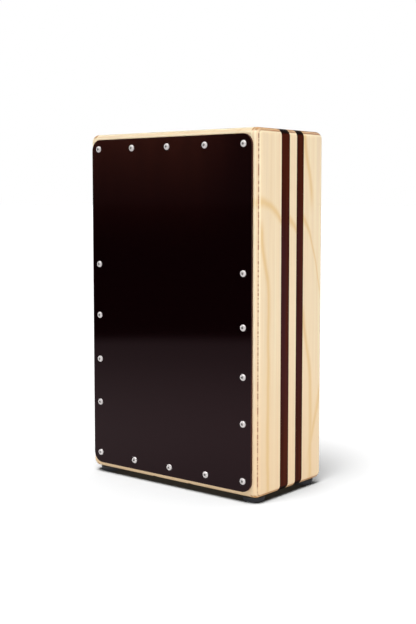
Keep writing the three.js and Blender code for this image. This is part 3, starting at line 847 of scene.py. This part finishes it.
rubber = black_rubber()
foot_radius, foot_waist = 15, 12.5
screw_bore, recess_radius, recess_top = 1.8, 5.5, 3.6
lip, rim, shoulder = 0.6, 1.5, 1.2  # radii of the foot's three roundings
foot_profile = [(screw_bore, recess_top), (recess_radius, recess_top), (recess_radius, lip)]
foot_profile += quarter_round(recess_radius + lip, lip, lip, 180, 270, 4)
foot_profile += quarter_round(foot_waist, rim, rim, 270, 345, 8)
foot_profile += quarter_round(foot_radius - shoulder, bottom - shoulder, shoulder, 0, 90, 6)
foot_profile += [(screw_bore, bottom), (screw_bore, recess_top)]
for name in (name for name in nodes_named("_foot") if name.endswith("_foot")):
    low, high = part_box(name)
    centre = (low + high) / 2 / MM
    piece(name + "_moulded", turned(foot_profile, 64, (centre.x, centre.y, 0)), rubber, name, edge=0.0)
    print(name, "at", round(centre.x, 1), round(centre.y, 1))

# %% [markdown]
# ## The snare inside
# Two socket-head screws under the box pull two brass carriages down, and each carriage tightens two
# strings. Only the heads show from below, and the rest through the sound hole. The thread is a real helix:
# a small tooth, spun many turns while it climbs.

# %% Adjusters
def merge(bm, *others):
    """Adds other shapes to a shape, as loose parts of one mesh."""
    for other in others:
        mesh = as_mesh("throwaway", other)
        bm.from_mesh(mesh)
        bpy.data.meshes.remove(mesh)


thread_pitch, thread_steps = 0.8, 24
half_root, half_crest, sunk = 0.35, 0.05, 0.05  # the thread's tooth
neck, plain_tip = 0.7, 0.4
core_radius, crest_radius, tip_rounding = 2.2, 2.5, 0.8
head_top, head_radius, head_rounding = 13.7, 4.25, 0.6
hex_key, socket_depth = 4, 2.6
socket_corner = hex_key / 2 / math.cos(math.pi / 6)


def thread(x, y, low, high):
    """A helical ridge with a triangular tooth, between two heights."""
    turns = math.floor((high - low) / thread_pitch)
    bm = bmesh.new()
    root = core_radius - sunk
    tooth = [(root, -half_root), (crest_radius, -half_crest), (crest_radius, half_crest), (root, half_root)]
    face = bm.faces.new([bm.verts.new((radius * MM, 0, height * MM)) for radius, height in tooth])
    bmesh.ops.spin(
        bm, geom=[face], cent=(0, 0, 0), axis=(0, 0, 1), dvec=(0, 0, thread_pitch * MM / thread_steps),
        angle=math.tau * turns, steps=thread_steps * turns,
    )
    bmesh.ops.recalc_face_normals(bm, faces=bm.faces)
    bmesh.ops.translate(bm, vec=Vector((x, y, low)) * MM, verts=bm.verts)
    return bm


for side_name in SIDES:
    node = f"string_adjuster_{side_name}"
    low, high = (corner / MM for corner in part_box(node))
    x, y = (low.x + high.x) / 2, (low.y + high.y) / 2
    shaft = turned([
        (0, low.z), (head_radius - head_rounding, low.z), (head_radius, low.z + head_rounding),
        (head_radius, head_top), (core_radius, head_top), (core_radius, high.z - tip_rounding),
        (core_radius - tip_rounding, high.z), (0, high.z),
    ], 48, (x, y, 0))
    socket = bmesh.new()
    bmesh.ops.create_cone(
        socket, cap_ends=True, segments=6, radius1=socket_corner * MM, radius2=socket_corner * MM,
        depth=2 * socket_depth * MM, matrix=Matrix.Translation(Vector((x, y, low.z)) * MM),
    )
    shaft = carve(shaft, socket)
    merge(shaft, thread(x, y, head_top + neck, high.z - tip_rounding - plain_tip))
    piece(f"adjuster_screw_{side_name}", shaft, steel, node, f"adjuster_{side_name}", edge=0.0)
    print(side_name, "adjuster from", round(low.z, 1), "to", round(high.z, 1))

# %% [markdown]
# ## Washers
# A washer lies on each adjuster's head. Its outline, a rectangle with its corners broken, stands beside the
# axis, so that it becomes a ring when it is spun.

# %% Washers
def worn_edge(radius, low, high, broken):
    """The outer side of a disc's outline from low to high, with both corners broken."""
    flat = radius - broken
    return [(flat, low), (radius, low + broken), (radius, high - broken), (flat, high)]


inner_radius, outer_radius, broken = 2.8, 5.0, 0.1
for side_name in SIDES:
    node = f"adjuster_washer_{side_name}"
    low, high = (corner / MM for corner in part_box(node))
    outline = worn_edge(outer_radius, low.z, high.z, broken)
    outline += worn_edge(inner_radius, high.z, low.z, -broken)
    ring = turned(outline + outline[:1], 48, ((low.x + high.x) / 2, (low.y + high.y) / 2, 0))
    piece(f"adjuster_ring_{side_name}", ring, zinc, node, edge=0.0)
    print(side_name, "washer from", round(low.z, 1), "to", round(high.z, 1))

# %% [markdown]
# ## Strings
# The strings are wound steel, like a guitar's lower ones, with a ball at each end. A path gets thickness
# from round sections bridged along it. Each string stays where it is made, on no body.

# %% Wound strings
winding = 0.3


def wound_wire():
    wire = Finish("wound_wire", "string_steel")
    turns = wire.calc("SINE", wire.both(wire.z, math.tau / winding))
    # Painted shade: the colour darkens in the grooves between the winding's turns, where the relief dips.
    tint = wire.mix(wire.fade(turns, -0.9, 0.4), shade(120, 116, 110), shade(206, 203, 198))
    wire.surface(Base_Color=tint, Roughness=0.32, Metallic=1.0, Normal=wire.relief(turns, 0.05, 0.7))
    return wire


string_finish = wound_wire()


def tube(route, radius, sides=12):
    """A closed round tube along a route of points, in millimetres."""
    bm = bmesh.new()
    rings = []
    for index, point in enumerate(route):
        before, after = route[max(index - 1, 0)], route[min(index + 1, len(route) - 1)]
        turn_to = Vector((0, 0, 1)).rotation_difference((after - before).normalized()).to_matrix().to_4x4()
        ring = bmesh.ops.create_circle(
            bm, cap_ends=index in (0, len(route) - 1), segments=sides, radius=radius * MM,
            matrix=Matrix.Translation(point * MM) @ turn_to,
        )["verts"]
        rings.append([line for line in bm.edges if line.verts[0] in ring and line.verts[1] in ring])
    for first, second in zip(rings, rings[1:]):
        bmesh.ops.bridge_loops(bm, edges=first + second)
    bmesh.ops.recalc_face_normals(bm, faces=bm.faces)
    return bm


def rounded_route(corners, radius=1.6, steps=6):
    """A path through corners, each one replaced by a short bend."""
    route = [corners[0]]
    for before, corner, after in zip(corners, corners[1:], corners[2:]):
        reach = min(radius, (corner - before).length / 3, (after - corner).length / 3)
        start = corner + (before - corner).normalized() * reach
        end = corner + (after - corner).normalized() * reach
        for step in range(steps + 1):
            share = step / steps
            route.append(start.lerp(corner, share).lerp(corner.lerp(end, share), share))
    return route + [corners[-1]]


def long_runs_split(route, longest=12.0):
    """The same path with points at most a given distance apart."""
    dense = [route[0]]
    for before, after in zip(route, route[1:]):
        count = max(1, math.ceil((after - before).length / longest))
        dense += [before.lerp(after, step / count) for step in range(1, count + 1)]
    return dense


string_radius = 0.5
ball_radius, ball_edge, ball_height = 2, 0.3, 3.4
string_y, anchor_y = -72.6, -69.4
pair_middle = 32
straight_from, straight_to = 445, 55
top_end, top_bend, low_bend, low_end = 455.6, 452.4, 45, 42
top_ball, low_ball = 452.7, 41.3


def ball(x, low):
    """The ball at a string's end: a short drum with broken edges."""
    high = low + ball_height
    edge = worn_edge(ball_radius, low, high, ball_edge)
    return turned([(0, low), *edge, (0, high)], 20, (x, anchor_y, 0))


for side_name, side in SIDES.items():
    for end_name, spread, offset in (("inner", -22, -6), ("outer", 22, 6)):
        top_x, low_x = side * (pair_middle + spread), side * (pair_middle + offset)
        corners = [Vector(p) for p in (
            (top_x, anchor_y, top_end), (top_x, anchor_y, top_bend), (top_x, string_y, straight_from),
            (low_x, string_y, straight_to), (low_x, anchor_y, low_bend), (low_x, anchor_y, low_end),
        )]
        wire = tube(long_runs_split(rounded_route(corners)), string_radius)
        merge(wire, ball(top_x, top_ball), ball(low_x, low_ball))
        node = f"snare_string_{side_name}_{end_name}"
        string = piece(node + "_wound", wire, string_finish, node, body=None, edge=0.0)
        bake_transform(string)
print("strings stretch from", straight_from, "to", straight_to, "mm")

# %% [markdown]
# ## Wood inside
# The battens are spruce and the string bar is beech, both unlacquered, so they are dull, with darker cut
# ends. One recipe with bands of late growth serves both, and it is told the axis of the grain.

# %% Spruce and beech
def plain_wood(name, slot, grain, face, fibre, dark):
    wood = Finish(name, slot)
    fibres = wood.noise(*waves(grain, 1.3, 70), detail=3.0)
    growth = wood.noise(*waves(grain, 6.0, 350), detail=1.0, shift=3.0)
    bands = wood.calc("FRACT", wood.both(growth, 7.0))
    colour = wood.mix_in(face, fibre, fibres, 0.35, 0.8, 0.5)
    colour = wood.mix(wood.both(wood.line(bands, 0.6, 0.5), 0.6), colour, fibre)
    colour = wood.mix(wood.both(wood.cut_end(grain, 0.4, 0.8), 0.6), colour, dark)
    wood.surface(Base_Color=colour, Roughness=0.62, Normal=wood.relief(fibres, 0.08, 0.5))
    return wood


spruce = shade(222, 192, 146), shade(196, 154, 100), shade(170, 122, 74)
beech = shade(206, 164, 122), shade(178, 130, 90), shade(148, 102, 68)
upright_spruce = plain_wood("spruce_upright", "spruce", "z", *spruce)
level_spruce = plain_wood("spruce_level", "spruce", "x", *spruce)
bar_beech = plain_wood("beech_bar", "beech", "x", *beech)

# %% [markdown]
# ## Pieces that keep their solid
# Battens, the string bar, the carriages and the plate already have the right shape. Their solids are only
# dressed: a Weld modifier joins the loose triangles, a Bevel breaks the edges, and the finish is set.

# %% Dress the solids
def dress(node, finish, edge):
    """Gives a solid its finish and broken edges, with its own mesh untouched."""
    made = frame["nodes"][node]
    made.data.materials.clear()
    made.data.materials.append(finish.material)
    weld = made.modifiers.new("joined", "WELD")
    weld.merge_threshold = 0.002 * MM
    soften(made, edge)


for side_name in SIDES:
    dress(f"{side_name}_front_batten", upright_spruce, 0.4)
    dress(f"string_carriage_{side_name}", brass, 0.15)
dress("top_front_batten", level_spruce, 0.4)
dress("bottom_front_batten", level_spruce, 0.4)
dress("string_bar", bar_beech, 0.4)
dress("tensioner_plate", steel, 0.15)
print("solids dressed")

# %% [markdown]
# ## Lamps
# The drum stands on white paper under a soft key lamp, high in front of it, and a smaller one overhead.
# Light as steep as that leaves upright faces dim, so four fill lamps light them, the front one from below,
# like light that comes off the paper. Sun lamps are used rather than near area lamps, because they light
# the drum evenly from every side. Together they give a plain level, at which a colour shows as written.

# %% Lamps on the drum
drum_alone = bpy.data.collections.new("drum_alone")
for made in bpy.context.scene.objects:
    if made.type == "MESH":
        drum_alone.objects.link(made)


def lamp(name, direction, level, softness, reaches):
    """A far, soft lamp on some pieces. At level 1 a surface that faces it shows its colour as written."""
    data = bpy.data.lights.new(name, "SUN")
    data.energy, data.angle = level * math.pi, math.radians(softness)
    made = add_object(name, data)
    made.rotation_euler = Vector(direction).to_track_quat("Z", "Y").to_euler()
    made.light_linking.receiver_collection = reaches
    return made


lamp("key", (-0.01, -0.50, 0.87), level=0.67, softness=45, reaches=drum_alone)
lamp("overhead", (0, 0, 1), level=0.32, softness=32, reaches=drum_alone)
fills = {
    "front": ((0, -1, -0.8), 0.36),
    "right": ((1, 0, 0), 0.61),
    "left": ((-1, 0, 0), 0.50),
    "back": ((0, 1, 0), 0.50),
}
fill_softness = 50
for side_name, (direction, level) in fills.items():
    fill = lamp(f"{side_name}_fill", direction, level, fill_softness, drum_alone)
    fill.visible_glossy = False
    fill.light_linking.blocker_collection = drum_alone

# %% [markdown]
# ## The paper's own lamps
# Light linking names the pieces that a lamp reaches, and the ones that can block it, so the paper can have
# lamps of its own. Their directions give the narrow dark shadow under the box and the long soft one behind
# it. They are many times too bright, and the paper's colour is darker by the same factor. The paper then
# looks the same, but the little brown light that the wood throws down hardly shows, and the shadow stays
# grey. A weak haze that only the paper can block keeps it from turning quite black.

# %% Lamps on the paper
paper_alone = bpy.data.collections.new("paper_alone")
paper_boost = 24
haze_level = 0.006
paper_lamps = {
    "paper_key": ((0.064, -0.355, 1), 0.624, 30),
    "paper_overhead": ((0.018, 0.146, 1), 0.317, 55),
    "paper_haze": ((0, 0, 1), haze_level, 60),
}
for name, (direction, level, softness) in paper_lamps.items():
    lamp(name, direction, level * paper_boost, softness, paper_alone).visible_glossy = False
bpy.data.objects["paper_haze"].light_linking.blocker_collection = paper_alone
print(len(paper_lamps), "lamps on the paper, the last one without a shadow")

# %% [markdown]
# ## The room
# The room is white for the camera and for glass. In gloss it is white only high up and dark low down, as a
# studio is, which makes a black lacquer look black. It gives almost no light itself. The Light Path node
# tells the camera's rays, the mirrored ones and the others apart.

# %% The room
world = bpy.data.worlds.new("studio")
world.use_nodes = True
bpy.context.scene.world = world
dim_level = 0.03
white_from, white_above = 0.5, 0.8  # upward part of the direction in which a mirrored ray leaves

room = Recipe(world.node_tree)
rays = room.node("LightPath", {})
towards = room.node("TexCoord", {}).outputs["Generated"]
upwards = room.node("SeparateXYZ", {0: towards}).outputs["Z"]
seen = room.both(rays.outputs["Is Glossy Ray"], room.fade(upwards, white_from, white_above))
for ray in ("Is Camera Ray", "Is Transmission Ray"):
    seen = room.calc("MAXIMUM", rays.outputs[ray], seen)
strength = room.between(seen, dim_level, 1.0)
background = room.node("Background", {"Color": (1, 1, 1, 1), "Strength": strength})
room.node("OutputWorld", {"Surface": background.outputs[0]})
print("the room uses", len(room.nodes), "nodes")

# %% [markdown]
# ## The floor
# The floor is one large plane. For the camera it is a very bright white, as paper is when it is lit to
# vanish, so that only the deeper part of the shadow shows. For light that bounces off it onto the drum it
# is ordinary white paper, and gloss mirrors only its lit part, which ends under two metres from the drum.
# All its levels are divided by the factor that its lamps are too bright by.

# %% Floor
camera_level, bounce_level = 1.298, 0.57
mirrored_near, mirrored_far = 0.54, 0.27
near_radius, far_radius, dark_radius = 300.0, 1500.0, 1780.0


def white_paper():
    paper = Finish("white_paper", "")
    rays = paper.node("LightPath", {})
    squares = paper.calc("ADD", paper.both(paper.x, paper.x), paper.both(paper.y, paper.y))
    distance = paper.calc("SQRT", squares)
    # Painted light: to gloss the paper is a pool of light, brightest near the drum, dimmer towards 1.5 m
    # and dark past the dark radius.
    near = paper.fade(distance, far_radius, near_radius)
    lit = paper.fade(distance, dark_radius, far_radius)
    mirrored = paper.both(lit, paper.between(near, mirrored_far, mirrored_near))
    level = paper.between(rays.outputs["Is Glossy Ray"], bounce_level, mirrored)
    level = paper.between(rays.outputs["Is Camera Ray"], level, camera_level)
    level = paper.calc("DIVIDE", level, paper_boost)
    colour = paper.node("CombineColor", {0: level, 1: level, 2: level}).outputs[0]
    shader = paper.node("BsdfDiffuse", {"Color": colour})
    paper.node("OutputMaterial", {"Surface": shader.outputs[0]})
    return paper


floor_reach = 60
ground = bmesh.new()
bmesh.ops.create_grid(ground, x_segments=1, y_segments=1, size=floor_reach)
floor_mesh = as_mesh("floor", ground)
floor_mesh.materials.append(white_paper().material)
floor = add_object("floor", floor_mesh)
paper_alone.objects.link(floor)
print("floor reaches", floor_reach, "m each way")

# %% [markdown]
# ## Plain view
# The Standard view shows colours as they are, with no film look.

# %% Plain view
bpy.context.scene.view_settings.view_transform = "Standard"
